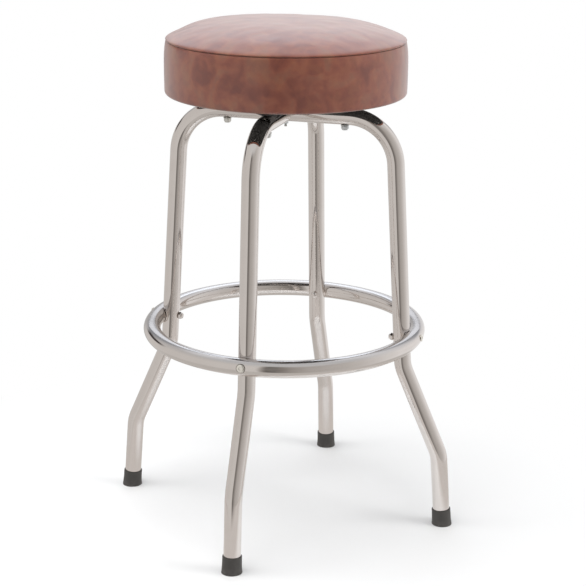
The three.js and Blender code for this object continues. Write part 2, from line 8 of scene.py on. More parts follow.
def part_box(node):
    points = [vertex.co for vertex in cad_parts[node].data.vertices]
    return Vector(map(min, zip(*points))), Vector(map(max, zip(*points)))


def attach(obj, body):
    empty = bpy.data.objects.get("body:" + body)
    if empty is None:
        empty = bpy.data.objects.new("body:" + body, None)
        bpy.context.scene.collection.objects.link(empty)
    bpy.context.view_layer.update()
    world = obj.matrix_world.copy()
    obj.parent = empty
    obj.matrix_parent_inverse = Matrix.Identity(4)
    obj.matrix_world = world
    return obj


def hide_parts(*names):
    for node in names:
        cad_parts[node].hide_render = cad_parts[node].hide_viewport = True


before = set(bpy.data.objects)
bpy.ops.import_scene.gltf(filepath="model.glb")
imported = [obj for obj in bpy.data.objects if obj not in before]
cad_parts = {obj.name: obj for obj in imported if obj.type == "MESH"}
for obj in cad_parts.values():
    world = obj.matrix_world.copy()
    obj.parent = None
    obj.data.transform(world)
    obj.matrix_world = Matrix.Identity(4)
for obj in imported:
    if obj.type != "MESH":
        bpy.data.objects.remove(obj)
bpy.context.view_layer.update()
scene = bpy.context.scene

# Leg tubes
# Two round steel tubes, each bent into an upside-down U that makes two legs, then
# polished and chromed. Each leg is pressed in where the foot ring nests, and each
# span is pressed flat to half its height where the other tube crosses it.
mm = 0.001
rest_gap = 0.3
tube_radius = 12.7
tube_wall = 1.5
tube_sides = 60
span_height = 620.4
ring_radius = 200.12
ring_height = 292.8
ring_tube_radius = 12.7
press_firmness = 16
crossing_half = 13.2
crossing_slope = 15
crossing_rise = 18
crossing_soft = 0.9
crossing_end = 60

# Each point of a leg's centreline: reach, height, bend radius, steps of the bend, and
# the spacing of the tube's rings on the straight that leads up to it.
leg_route = (
    (253.05, 4.49, 0, 0, 0),
    (245.08, 112, 57, 8, 20),
    (185.48, 248.1, 55.6, 8, 20),
    (183.81, 276, 0, 0, 20),
    (181.77, 310, 0, 0, 1.5),
    (163.18, 620.4, 71, 20, 20),
    (36, span_height, 0, 0, 20),
    (0, span_height, 0, 0, 1.5),
)


class Shade:
    """A socket in a material's node tree. Arithmetic on it adds Math nodes."""

    def __init__(self, tree, socket=None):
        self.tree = tree
        self.socket = socket

    def node(self, kind, settings, inputs, output=0):
        """Adds a node: its settings first, then its sockets' values or links."""
        added = self.tree.nodes.new(kind)
        for name, value in settings.items():
            if name == "stops":
                ramp = added.color_ramp.elements
                for place, colour in value[1:-1]:
                    ramp.new(place).color = (*colour, 1)
                for stop, (place, colour) in ((ramp[0], value[0]), (ramp[-1], value[-1])):
                    stop.position = place
                    stop.color = (*colour, 1)
            else:
                setattr(added, name, value)
        for name, value in inputs.items():
            if isinstance(value, Shade):
                self.tree.links.new(value.socket, added.inputs[name])
            else:
                added.inputs[name].default_value = value
        return Shade(self.tree, None if output is None else added.outputs[output])

    def maths(self, operation, *others):
        """A Math node on this value and the others."""
        values = dict(enumerate((self, *others)))
        return self.node("ShaderNodeMath", {"operation": operation}, values)

    def __add__(self, other):
        return self.maths("ADD", other)

    __radd__ = __add__

    def __sub__(self, other):
        return self.maths("SUBTRACT", other)

    def __rsub__(self, other):
        return self.maths("MULTIPLY_ADD", -1.0, other)

    def __mul__(self, other):
        return self.maths("MULTIPLY", other)

    __rmul__ = __mul__

    def __truediv__(self, other):
        return self.maths("DIVIDE", other)

    def step(self, low, high):
        """0 below low, 1 above high, and a smooth rise between them."""
        settings = {"interpolation_type": "SMOOTHSTEP"}
        inputs = {"Value": self, "From Min": low, "From Max": high}
        return self.node("ShaderNodeMapRange", settings, inputs)

    def noise(self, scale, detail=2.0, roughness=0.5, distortion=0.0):
        inputs = {"Vector": self, "Scale": scale, "Detail": detail}
        inputs.update({"Roughness": roughness, "Distortion": distortion})
        return self.node("ShaderNodeTexNoise", {}, inputs)

    def stretched(self, *scale):
        """Coordinates scaled along X, Y and Z, which draws a pattern out."""
        return self.node("ShaderNodeMapping", {}, {"Vector": self, "Scale": scale})

    def along(self, axis):
        """One coordinate of a place: 0, 1 or 2 for X, Y or Z."""
        return self.node("ShaderNodeSeparateXYZ", {}, {"Vector": self}, output=axis)

    def distance(self, spot):
        """How far a place is from a spot, in metres."""
        settings = {"operation": "DISTANCE"}
        return self.node("ShaderNodeVectorMath", settings, {0: self, 1: spot}, output=1)

    def ramp(self, *stops):
        return self.node("ShaderNodeValToRGB", {"stops": stops}, {"Fac": self})

    def blend(self, first, second):
        """Mixes two colours by this value."""
        colours = {0: self, 6: colour_of(first), 7: colour_of(second)}
        return self.node("ShaderNodeMix", {"data_type": "RGBA"}, colours, output=2)

    def between(self, first, second):
        """Mixes two shaders by this value."""
        return self.node("ShaderNodeMixShader", {}, {0: self, 1: first, 2: second})

    def bump(self, depth, strength):
        """A normal from heights of 0 to 1 that stand for a depth in millimetres."""
        inputs = {"Height": self, "Distance": depth * mm, "Strength": strength}
        return self.node("ShaderNodeBump", {}, inputs)


def colour_of(value):
    return value if isinstance(value, Shade) else (*value, 1)


def make_material(name, dress, **constants):
    """A material whose dress takes the object coordinates and returns what varies."""
    material = bpy.data.materials.new(name)
    material.use_nodes = True
    start = Shade(material.node_tree)
    start.tree.nodes.clear()
    place = start.node("ShaderNodeTexCoord", {}, {}, output=3)
    inputs = {key.replace("_", " "): value for key, value in constants.items()}
    inputs.update(dress(place))
    shader = start.node("ShaderNodeBsdfPrincipled", {}, inputs)
    start.node("ShaderNodeOutputMaterial", {}, {"Surface": shader}, output=None)
    return material


def chrome_look(place):
    """Bright plating with faint wipe marks and a slow ripple left by the polishing."""
    haze = place.noise(38, 4, 0.6)
    wipe = place.stretched(1, 1, 0.16).noise(260, 3, 0.6)
    pits = place.noise(900, 1).step(0.73, 0.80)
    tone = haze.blend((0.730, 0.684, 0.652), (0.806, 0.762, 0.732))
    return {
        "Base Color": (pits * 0.3).blend(tone, (0.32, 0.29, 0.26)),
        "Roughness": 0.03 + haze * 0.04 + wipe * 0.03 + pits * 0.2,
        "Normal": (place.noise(22, 1) + wipe * 0.01).bump(0.12, 0.5),
    }


chrome = make_material("chrome_plating", chrome_look, Metallic=1.0)


def face_out(bm):
    bmesh.ops.recalc_face_normals(bm, faces=bm.faces)


def spin_round(bm, geometry, steps):
    """Spins a line full round the Z axis and closes it."""
    full = 2 * math.pi
    bmesh.ops.spin(bm, geom=geometry, axis=(0, 0, 1), angle=full, steps=steps, use_merge=True)
    bmesh.ops.remove_doubles(bm, verts=bm.verts, dist=0.001)
    face_out(bm)


def turn_about_stool(bm, degrees):
    """Turns a part made for the right-hand leg round to another leg."""
    turn = Matrix.Rotation(math.radians(degrees), 3, "Z")
    bmesh.ops.rotate(bm, matrix=turn, verts=bm.verts)


def add_piece(name, bm, body, slot, material, *nodes, crease=38):
    """Makes a piece in metres from a bmesh in millimetres, and sets it on its body."""
    bmesh.ops.scale(bm, vec=(mm, mm, mm), verts=bm.verts)
    mesh = bpy.data.meshes.new(name)
    bm.to_mesh(mesh)
    bm.free()
    mesh.shade_smooth()
    mesh.set_sharp_from_angle(angle=math.radians(crease))
    mesh.materials.append(material)
    piece = bpy.data.objects.new(name, mesh)
    scene.collection.objects.link(piece)
    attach(piece, body)
    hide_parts(*nodes)
    return piece


def add_wall(piece, thickness, offset=-1):
    """Gives a sheet its thickness in millimetres, on the side that offset says."""
    wall = piece.modifiers.new("wall", "SOLIDIFY")
    wall.thickness = thickness * mm
    wall.offset = offset


def ease_edges(piece, width, segments=2, angle=35):
    bevel = piece.modifiers.new("eased edges", "BEVEL")
    bevel.width = width * mm
    bevel.segments = segments
    bevel.limit_method = "ANGLE"
    bevel.angle_limit = math.radians(angle)


def extrude(bm, edges):
    """Extrudes edges, and returns the new vertices and the new outer edges."""
    grown = bmesh.ops.extrude_edge_only(bm, edges=edges)["geom"]
    verts = [part for part in grown if isinstance(part, bmesh.types.BMVert)]
    return verts, [part for part in grown if isinstance(part, bmesh.types.BMEdge)]


def half_tube(route):
    """Draws a round tube along a route in the XZ plane, ring by ring."""
    bm = bmesh.new()
    points = [Vector((reach, 0, height)) for reach, height, *_ in route]
    here = points[0]
    way = (points[1] - here).normalized()
    lean = Vector((0, 0, 1)).rotation_difference(way).to_matrix().to_4x4()
    start = Matrix.Translation(here) @ lean
    bmesh.ops.create_circle(bm, segments=tube_sides, radius=tube_radius, matrix=start)
    ring = bm.edges[:]
    for index in range(1, len(route)):
        bend, bend_steps, spacing = route[index][2:]
        corner = points[index]
        last = index + 1 == len(route)
        onward = way if last else (points[index + 1] - corner).normalized()
        angle = way.angle(onward) if bend else 0
        reach = bend * math.tan(angle / 2)
        length = (corner - here).length - reach
        steps = max(1, round(length / spacing))
        for _ in range(steps):
            rim, ring = extrude(bm, ring)
            bmesh.ops.translate(bm, verts=rim, vec=way * length / steps)
        if bend:
            side = (onward - way * way.dot(onward)).normalized()
            centre = corner - way * reach + side * bend
            axis = way.cross(side)
            swept = bmesh.ops.spin(
                bm, geom=ring, cent=centre, axis=axis, angle=angle, steps=bend_steps
            )["geom_last"]
            ring = [part for part in swept if isinstance(part, bmesh.types.BMEdge)]
        here = corner + onward * reach
        way = onward
    return bm


def smooth_step(value, low=0, high=1):
    """0 below low, 1 above high, and a smooth rise between them."""
    share = min(max((value - low) / (high - low), 0), 1)
    return share * share * (3 - 2 * share)


def press_saddles(bm):
    """Pushes each leg's outer wall back until it clears the foot ring."""
    seat = ring_tube_radius + rest_gap
    for vert in bm.verts:
        middle = Vector((vert.co.x, vert.co.y, 0)).normalized() * ring_radius
        middle.z = ring_height
        away = vert.co - middle
        share = (1 + (seat / away.length) ** press_firmness) ** (1 / press_firmness)
        vert.co = middle + away * share


def press_crossing(bm, side):
    """Presses the middle of the span flat: from above for 1, from below for -1."""
    for vert in bm.verts:
        if vert.co.z < span_height / 2 or abs(vert.co.x) > crossing_end:
            continue
        slope = smooth_step((abs(vert.co.x) - crossing_half) / crossing_slope)
        shelf = crossing_rise * slope - rest_gap / 2
        lift = side * (vert.co.z - span_height)
        lift = (lift + shelf - math.hypot(lift - shelf, crossing_soft)) / 2
        vert.co.z = span_height + side * lift


for name, side, turn in (("left_right", 1, 0), ("front_back", -1, 90)):
    bm = half_tube(leg_route)
    whole = bm.verts[:] + bm.edges[:] + bm.faces[:]
    bmesh.ops.mirror(bm, geom=whole, matrix=Matrix.Identity(4), merge_dist=0.01, axis="X")
    bmesh.ops.remove_doubles(bm, verts=bm.verts, dist=0.01)
    face_out(bm)
    press_saddles(bm)
    press_crossing(bm, side)
    turn_about_stool(bm, turn)
    piece = "chromed_tube_" + name
    tube = add_piece(piece, bm, "leg_frame", "chrome", chrome, "leg_tube_" + name)
    add_wall(tube, tube_wall)

# Foot ring
# One length of the same steel tube, rolled into a hoop, butt welded, polished flush
# and chromed. It nests in the four pressed saddles and is bolted to each leg.
ring_steps = 200
ring_sides = 48
worn_dimmed_start = 4.2
worn_dimmed_full = 10.7
front_head = (0, -0.2128, 0.2945)
bolt_shadow_inner = 6.5
bolt_shadow_outer = 7.2


def foot_ring_look(place):
    """Chrome roughened on top by shoe wear, its top painted darker as a dimmed reflection, and
    a painted shadow round the front bolt's head.
    """
    look = chrome_look(place)
    height = place.along(2)
    worn_and_dimmed_top = height.step((ring_height + worn_dimmed_start) * mm, (ring_height + worn_dimmed_full) * mm)
    scuff = worn_and_dimmed_top * place.noise(140, 4, 0.7).step(0.45, 0.7)
    # A dark, rougher ring round the front bolt's head: a painted shadow of the gap under the
    # head.
    outside_bolt_shadow = place.distance(front_head).step(bolt_shadow_inner * mm, bolt_shadow_outer * mm)
    painted_bolt_shadow = (1 - outside_bolt_shadow) * (0.7 + place.noise(800, 2) * 0.3)
    # The top's colour is painted darker, a painted dimming of its reflection; the roughness
    # there is real shoe wear.
    top_painted_darker = (worn_and_dimmed_top * 0.75).blend(look["Base Color"], (0.58, 0.57, 0.58))
    look["Base Color"] = painted_bolt_shadow.blend(top_painted_darker, (0.11, 0.095, 0.075))
    look["Roughness"] = look["Roughness"] + worn_and_dimmed_top * 0.08 + scuff * 0.08 + painted_bolt_shadow * 0.25
    return look


scuffed_chrome = make_material("scuffed_chrome", foot_ring_look, Metallic=1.0)

bm = bmesh.new()
section = Matrix.Translation((ring_radius, 0, ring_height))
section = section @ Matrix.Rotation(math.pi / 2, 4, "X")
bmesh.ops.create_circle(bm, segments=ring_sides, radius=ring_tube_radius, matrix=section)
spin_round(bm, bm.edges[:], ring_steps)
add_piece("chromed_foot_ring", bm, "leg_frame", "chrome", scuffed_chrome, "foot_ring")

# Ring bolts and cap nuts
# Four M6 bolts with low button heads and a hexagon socket go in through the ring,
# square to the leaning leg. A low domed cap nut closes each inside. All are plated.
legs = {"right": 0, "back": 90, "left": 180, "front": -90}
round_steps = 60
shank_radius = 3
shank_chamfer = 0.5
socket_across = 4
socket_reach = (0.9, 2.65, 2.4)
thread_in_nut = 4
nut_across = 10
leg_reach = 182.8
leg_lean = math.atan(22.3 / 372.3)
ring_head_face = ring_radius + ring_tube_radius + rest_gap
cap_nut_face = leg_reach - tube_radius - rest_gap
ring_bolt_length = ring_head_face - cap_nut_face + thread_in_nut
low_head_line = (
    (5.6, 0), (5.82, 0.12), (5.9, 0.35), (5.8, 0.62), (5.45, 0.86), (4.6, 1.08),
    (3.5, 1.22), (2.62, 1.28), (2.36, 1.16), (2.31, 0.95), (2.31, 0.2), (0, 0),
)
head_line = ((5.35, 0), (5.75, 0.15), (5.9, 0.5), (5.75, 0.95), (5.1, 1.65), (4.1, 2.3))
socket_line = ((3.1, 2.75), (2.6, 2.85), (2.31, 2.6), (2.31, 2.2), (2.31, 1.1), (0, 0.8))
cap_line = (
    (0, 4.8), (3.2, 4.8), (3.2, 0), (4.7, 0), (5.0, 0.2), (5.3, 0.4), (5.6, 0.6),
    (5.8, 0.8), (5.8, 2.9), (5.6, 3.1), (5.3, 3.3), (5.0, 3.48), (4.72, 3.6), (4.65, 4.3),
    (4.35, 5.2), (3.75, 5.95), (2.9, 6.5), (1.9, 6.83), (0.9, 6.97), (0, 7),
)


def turned(line, steps=round_steps):
    """A part turned from a line of radius and height, as on a lathe."""
    bm = bmesh.new()
    points = [bm.verts.new((radius, 0, height)) for radius, height in line]
    edges = [bm.edges.new(pair) for pair in zip(points, points[1:])]
    spin_round(bm, edges, steps)
    return bm


def mill_hexagon(bm, across, low, high, within):
    """Cuts six flats on what stands between two heights, no further out than within."""
    for vert in bm.verts:
        radius = math.hypot(vert.co.x, vert.co.y)
        if low <= vert.co.z <= high and 0 < radius <= within:
            turn = math.atan2(vert.co.y, vert.co.x) % (math.pi / 3) - math.pi / 6
            flat = min(1, across / 2 / math.cos(turn) / radius)
            vert.co.x *= flat
            vert.co.y *= flat


def shank(length):
    """The line of a plain shank that hangs down from z = 0."""
    tip = (shank_radius - shank_chamfer, -length)
    return [(0, -length), tip, (shank_radius, shank_chamfer - length), (shank_radius, 0)]


def socket_screw(length, wide):
    """A round-headed screw, its head on z = 0 and wide times the full size."""
    head = [(r * wide, z * wide) for r, z in head_line + socket_line]
    bm = turned(shank(length) + head)
    low, high, within = (size * wide for size in socket_reach)
    mill_hexagon(bm, socket_across * wide, low, high, within)
    return bm


def set_on_leg(bm, face, quarter_turns, turn):
    """Lays a turned part along X at a face, square to the leg, and turns it to its leg."""
    lay = Matrix.Rotation(quarter_turns * math.pi / 2, 3, "Y")
    tip = Matrix.Rotation(-leg_lean, 3, "Y")
    bmesh.ops.rotate(bm, matrix=lay, verts=bm.verts)
    bmesh.ops.translate(bm, verts=bm.verts, vec=(face, 0, ring_height))
    bmesh.ops.rotate(bm, cent=(leg_reach, 0, ring_height), matrix=tip, verts=bm.verts)
    turn_about_stool(bm, turn)


def bolt_plating_look(place):
    """Barrel plating, lighter and warmer than the tubes, a little cloudy."""
    cloud = place.noise(320, 3, 0.6)
    wear = place.noise(900, 2)
    return {
        "Base Color": cloud.blend((0.86, 0.83, 0.76), (0.95, 0.93, 0.87)),
        "Roughness": 0.10 + cloud * 0.12 + wear * 0.04,
        "Normal": (cloud + wear * 0.4).bump(0.03, 0.5),
    }


bolt_plating = make_material("bolt_plating", bolt_plating_look, Metallic=1.0)

for leg, turn in legs.items():
    bm = turned([*shank(ring_bolt_length), *low_head_line])
    mill_hexagon(bm, socket_across, low=0.1, high=1, within=2.35)
    set_on_leg(bm, ring_head_face, 1, turn)
    node = "ring_bolt_" + leg
    add_piece("plated_" + node, bm, "leg_frame", "chrome", bolt_plating, node)
    bm = turned(cap_line)
    mill_hexagon(bm, nut_across, low=0, high=3.5, within=6)
    set_on_leg(bm, cap_nut_face, -1, turn)
    piece = "plated_cap_nut_" + leg
    add_piece(piece, bm, "leg_frame", "chrome", chrome, "ring_cap_nut_" + leg)

# Rubber feet
# Four cups moulded in black rubber, pushed over the ends of the legs. They lean with
# the legs, flare a little towards the floor and stand on a flat sole.
foot_reach = 253.38
foot_lean = math.atan(8.3 / 112)
foot_line = (
    (0, -4), (15.2, -4), (15.2, 1.2), (15.0, 2.6), (14.7, 5), (14.45, 9), (14.25, 16),
    (14.15, 24.4), (14.0, 24.9), (13.75, 25.1), (13.35, 25), (13.1, 24.4), (13.0, 22),
    (13.0, 4.2), (0, 4.2),
)


def rubber_look(place):
    """Matt moulded rubber, dusty low down, with a fine cast grain."""
    grain = place.noise(1400, 3, 0.6)
    marks = place.noise(90, 4, 0.65)
    height = place.along(2)
    dust = (1 - height.step(0.001, 0.012)) * marks.step(0.35, 0.7)
    tone = marks.blend((0.040, 0.037, 0.034), (0.062, 0.058, 0.054))
    return {
        "Base Color": (dust * 0.35).blend(tone, (0.16, 0.15, 0.14)),
        "Roughness": 0.48 + marks * 0.14 + dust * 0.2,
        "Normal": (grain + marks * 0.6).bump(0.12, 0.6),
    }


rubber = make_material("black_rubber", rubber_look)

for leg, turn in legs.items():
    bm = turned(foot_line)
    lean = Matrix.Rotation(-foot_lean, 3, "Y")
    bmesh.ops.rotate(bm, matrix=lean, verts=bm.verts)
    whole = bm.verts[:] + bm.edges[:] + bm.faces[:]
    bmesh.ops.bisect_plane(
        bm, geom=whole, dist=0.001, plane_co=(0, 0, 0), plane_no=(0, 0, 1), clear_inner=True
    )
    rim = [edge for edge in bm.edges if edge.is_boundary]
    bmesh.ops.holes_fill(bm, edges=rim, sides=0)
    face_out(bm)
    bmesh.ops.translate(bm, verts=bm.verts, vec=(foot_reach, 0, 0))
    turn_about_stool(bm, turn)
    piece = "moulded_foot_" + leg
    foot = add_piece(piece, bm, "leg_frame", "rubber", rubber, "rubber_foot_" + leg)
    ease_edges(foot, 0.7, segments=3, angle=50)

# Cross bolt
# A small round-headed M4 bolt clamps the two pressed spans together where they cross.
# Its nut and the end of its thread hang under the middle. Both are zinc plated.
cross_radius = 2
cross_nut_height = 3.2
cross_nut_across = 7
cross_nut_bore = 2.1
cross_end = 4.5
cross_head_wide = 0.7
cross_head_tall = 0.85
thread_pitch = 0.7
thread_depth = 0.28
chamfer_slope = 0.62
chamfer_steps = 4
nut_rim = 0.3


def zinc_look(place):
    """Bright zinc plating, cloudy, with a faint yellow and blue cast."""
    cloud = place.noise(160, 4, 0.6)
    cast = place.noise(60, 2)
    brush = place.stretched(1, 1, 5).noise(900, 2)
    yellow = cloud.blend((0.64, 0.62, 0.56), (0.82, 0.80, 0.74))
    blue = cloud.blend((0.60, 0.62, 0.63), (0.76, 0.79, 0.80))
    return {
        "Base Color": cast.step(0.35, 0.65).blend(yellow, blue),
        "Roughness": 0.2 + cloud * 0.16 + brush * 0.08,
        "Normal": (brush + cloud).bump(0.03, 0.5),
    }


zinc = make_material("zinc_plating", zinc_look, Metallic=1.0)


def threaded(radius, low, high, pitch):
    """The line of a threaded rod from its lower end up."""
    line = [(0, low), (radius - thread_depth, low)]
    height = low + pitch / 2
    while height < high - pitch:
        line.append((radius, height))
        line.append((radius - thread_depth, height + pitch / 2))
        height += pitch
    line.append((radius, high))
    return line


def hex_nut(across, height, bore):
    """A plain nut with chamfered corners, hanging down from z = 0."""
    corner = across / math.sqrt(3)
    ease = corner - across / 2
    rise = ease * chamfer_slope
    shares = [step / chamfer_steps for step in range(chamfer_steps + 1)]
    lower = [(across / 2 + ease * share, rise * share - height) for share in shares]
    upper = [(radius, -height - z) for radius, z in reversed(lower)]
    rim = across / 2 - nut_rim
    line = [(bore, -height), (rim, -height), *lower, *upper]
    line += [(rim, 0), (bore, 0), (bore, -height)]
    bm = turned(line)
    mill_hexagon(bm, across, -height, 0, corner + 1)
    return bm


nut_face = span_height - tube_radius - rest_gap
head_face = span_height + tube_radius + rest_gap
thread_end = nut_face - cross_nut_height - cross_end
thread_line = threaded(cross_radius, thread_end, nut_face, thread_pitch)
cross_head = [
    (r * cross_head_wide, head_face + z * cross_head_tall) for r, z in head_line + socket_line
]
bm = turned([*thread_line, (cross_radius, head_face), *cross_head])
add_piece("zinc_cross_bolt", bm, "leg_frame", "zinc", zinc, "cross_bolt")
bm = hex_nut(cross_nut_across, cross_nut_height, cross_nut_bore)
bmesh.ops.translate(bm, verts=bm.verts, vec=(0, 0, nut_face))
add_piece("zinc_cross_nut", bm, "leg_frame", "zinc", zinc, "cross_bolt_nut")

# Lower swivel plate
# A square of 2.5 mm steel, blanked with round corners, its middle pressed up and a
# groove rolled in for the balls. It is dipped in black enamel and bolted to the tubes.
plate_half = 76.2
plate_corner = 9
plate_thickness = 2.5
plate_steps = 240
pivot_hole = 8.8
race_radius = 43
groove_half = 2.4
groove_depth = 1
groove_steps = 4
form_inner = 52
form_outer = 60
form_steps = 8
plate_rim = 62
plate_edge = 0.4
swivel_height = 17
lower_plate_z = span_height + tube_radius + rest_gap
upper_plate_z = lower_plate_z + swivel_height - plate_thickness
lower_rise = 3
ball_radius = 3.175
ball_play = 0.1


def enamel_look(place):
    """Dipped black enamel with an orange-peel skin, rubbed brown in places."""
    peel = place.noise(650, 2)
    wear = place.noise(70, 5, 0.7).step(0.62, 0.74)
    tone = place.noise(120, 3).blend((0.014, 0.013, 0.013), (0.026, 0.024, 0.023))
    return {
        "Base Color": (wear * 0.3).blend(tone, (0.09, 0.06, 0.04)),
        "Roughness": 0.34 + peel * 0.12 + wear * 0.2,
        "Normal": peel.bump(0.06, 0.6),
    }


enamel = make_material("black_enamel", enamel_look)


def square_reach(angle):
    """How far a round-cornered square, its corners on the axes, reaches at an angle."""
    turn = (angle + math.pi / 4) % (math.pi / 2)
    turn = abs(turn - math.pi / 4)
    turn = math.pi / 4 - turn
    flat = plate_half / math.cos(turn)
    straight = plate_half - plate_corner
    if flat * math.sin(turn) <= straight:
        return flat
    across = straight * (math.cos(turn) - math.sin(turn))
    along = straight * (math.cos(turn) + math.sin(turn))
    return along + math.sqrt(max(plate_corner ** 2 - across ** 2, 0))


def face_up(bm):
    """Turns the outer side of an open sheet's faces upwards."""
    if sum(face.normal.z for face in bm.faces) < 0:
        bmesh.ops.reverse_faces(bm, faces=bm.faces)


def add_plate(which, body, base, rise, groove):
    """Makes a plate with its middle pressed up or down by rise, and a groove in that."""
    line = [(pivot_hole, rise), (race_radius - 2 * groove_half, rise)]
    for step in range(-groove_steps, groove_steps + 1):
        share = step / groove_steps
        sunk = groove * (1 + math.cos(math.pi * share)) / 2
        line.append((race_radius + groove_half * share, rise + sunk))
    line.append((form_inner - 1, rise))
    for step in range(form_steps + 1):
        share = step / form_steps
        radius = form_inner + (form_outer - form_inner) * share
        line.append((radius, rise * (1 - smooth_step(share))))
    line.append((plate_rim, 0))
    bm = turned([(radius, base + height) for radius, height in line], plate_steps)
    rims = [edge for edge in bm.edges if edge.is_boundary]
    outer = [edge for edge in rims if edge.verts[0].co.xy.length > plate_rim - 1]
    for vert in extrude(bm, outer)[0]:
        angle = math.atan2(vert.co.y, vert.co.x)
        vert.co.xy = vert.co.xy.normalized() * square_reach(angle)
    face_out(bm)
    face_up(bm)
    piece = f"pressed_{which}_plate"
    plate = add_piece(piece, bm, body, "black_steel", enamel, f"swivel_{which}_plate")
    add_wall(plate, plate_thickness, 1)
    ease_edges(plate, plate_edge)


add_plate("lower", "leg_frame", lower_plate_z, lower_rise, -groove_depth)

# Plate bolts, washers and lock nuts
# Four M6 bolts go down through the plate's corners and the spans. Under each span a
# washer and a lock nut hold them. All are zinc plated.
bolt_reach = 127 / math.sqrt(2)
span_underside = span_height - tube_radius
washer_thickness = 1.2
lock_nut_height = 5.8
lock_hex_height = 4.2
thread_proud = 0.4
plate_head_wide = 0.89
washer_line = (
    (3.3, -1.2), (5.9, -1.2), (6.2, -0.9), (6.2, -0.2), (6.0, 0), (3.3, 0), (3.3, -1.2),
)
lock_nut_line = (
    (3.05, -5.5), (3.6, -5.8), (4.1, -5.8), (4.4, -5.5), (4.5, -4.3), (5.0, -4.15),
    (5.4, -3.85), (5.8, -3.45), (5.8, -0.8), (5.4, -0.45), (5.0, -0.12), (4.7, 0),
    (3.05, 0), (3.05, -5.5),
)


def set_on_corner(bm, height, turn):
    """Moves a turned part out to the corner of the plates that is over a leg."""
    bmesh.ops.translate(bm, verts=bm.verts, vec=(bolt_reach, 0, height))
    turn_about_stool(bm, turn)


for leg, turn in legs.items():
    head_face = lower_plate_z + plate_thickness + rest_gap
    nut_face = span_underside - washer_thickness - 2 * rest_gap
    length = head_face - nut_face + lock_nut_height + thread_proud
    bm = socket_screw(length, plate_head_wide)
    set_on_corner(bm, head_face, turn)
    add_piece("zinc_plate_bolt_" + leg, bm, "leg_frame", "zinc", zinc, "plate_bolt_" + leg)
    bm = turned(washer_line)
    set_on_corner(bm, span_underside - rest_gap, turn)
    add_piece("zinc_washer_" + leg, bm, "leg_frame", "zinc", zinc, "plate_washer_" + leg)
    bm = turned(lock_nut_line)
    mill_hexagon(bm, nut_across, low=-lock_hex_height, high=0, within=6)
    set_on_corner(bm, nut_face, turn)
    add_piece("zinc_lock_nut_" + leg, bm, "leg_frame", "zinc", zinc, "plate_lock_nut_" + leg)

# Pivot, cage and balls
# Twelve hardened steel balls run in the grooves, spaced by a punched cage. A hollow
# rivet through both plates, its rims rolled over, holds them together on the balls.
pivot_line = (
    (7, -2.2), (8.2, -2.6), (10.6, -2.5), (12.3, -1.9), (12.5, -1.2), (12.2, -0.6),
    (8.5, -0.6), (8.5, 11.9), (12.2, 11.9), (12.5, 12.5), (12.3, 13.2), (10.6, 13.8),
    (8.2, 13.9), (7, 13.5), (7, -2.2),
)
ball_count = 12
ball_sides = 24
ball_rings = 14
ball_seat = ball_radius / math.cos(math.atan(groove_depth / groove_half)) + ball_play
ball_z = lower_plate_z + plate_thickness + lower_rise - groove_depth + ball_seat
upper_rise = ball_z + ball_seat - groove_depth - upper_plate_z

low_rim, high_rim = (corner.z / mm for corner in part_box("swivel_pivot"))
bm = turned(pivot_line)
low_line = min(z for r, z in pivot_line)
high_line = max(z for r, z in pivot_line)
for vert in bm.verts:
    share = (vert.co.z - low_line) / (high_line - low_line)
    vert.co.z = low_rim + (high_rim - low_rim) * share
add_piece("rolled_pivot", bm, "leg_frame", "zinc", zinc, "swivel_pivot")


def ball_steel_look(place):
    """Greased, hardened steel."""
    smear = place.noise(220, 3)
    return {
        "Base Color": smear.blend((0.42, 0.40, 0.37), (0.62, 0.60, 0.57)),
        "Roughness": 0.08 + smear * 0.2,
        "Normal": smear.bump(0.05, 0.4),
    }


ball_steel = make_material("greased_steel", ball_steel_look, Metallic=1.0)

bm = bmesh.new()
for index in range(ball_count):
    angle = 2 * math.pi * (index + 0.5) / ball_count
    spot = (race_radius * math.cos(angle), race_radius * math.sin(angle), ball_z)
    place = Matrix.Translation(spot)
    bmesh.ops.create_uvsphere(
        bm, u_segments=ball_sides, v_segments=ball_rings, radius=ball_radius, matrix=place
    )
balls = [f"swivel_ball_{index + 1:02d}" for index in range(ball_count)]
add_piece("steel_balls", bm, "ball_race", "zinc", ball_steel, *balls)


def coat(node, material):
    """Gives a node that keeps its CAD shape its own material."""
    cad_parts[node].data.materials.clear()
    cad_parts[node].data.materials.append(material)


coat("ball_cage", ball_steel)

# Upper swivel plate and seat screws
# The same blank as the lower plate, its middle pressed down over the balls. Four
# zinc-plated screws go up through its corners into the seat.
seat_screw_length = 14.2
seat_head_wide = 0.84

add_plate("upper", "seat", upper_plate_z, upper_rise, groove_depth)
for leg, turn in legs.items():
    bm = socket_screw(seat_screw_length, seat_head_wide)
    over = Matrix.Rotation(math.pi, 3, "X")
    bmesh.ops.rotate(bm, matrix=over, verts=bm.verts)
    set_on_corner(bm, upper_plate_z - rest_gap, turn)
    add_piece("zinc_seat_screw_" + leg, bm, "seat", "zinc", zinc, "seat_screw_" + leg)

# Seat board and tee nuts
# A disc sawn from 12 mm plywood. Four tee nuts are pressed into it from above, and the
# seat screws pull up on them. The cushion hides both.
ply_rate = 2600


def plywood_look(place):
    """Face veneer with long grain, and the glued plies on the sawn edge."""
    grain = place.stretched(6, 60, 60).noise(4, 5, 0.6, 0.4)
    figure = place.stretched(1.5, 14, 14).noise(6, 3, 0.5, 1.2)
    height = place.along(2)
    ply = (height * ply_rate).maths("SINE") * 0.5 + 0.5
    face = grain.blend((0.40, 0.24, 0.11), (0.62, 0.42, 0.22))
    return {
        "Base Color": (figure * 0.35 + ply * 0.12).blend(face, (0.30, 0.16, 0.07)),
        "Roughness": 0.62 + grain * 0.2,
        "Normal": grain.bump(0.15, 0.6),
    }


plywood = make_material("birch_plywood", plywood_look)
coat("seat_board", plywood)
for leg in legs:
    coat("tee_nut_" + leg, zinc)

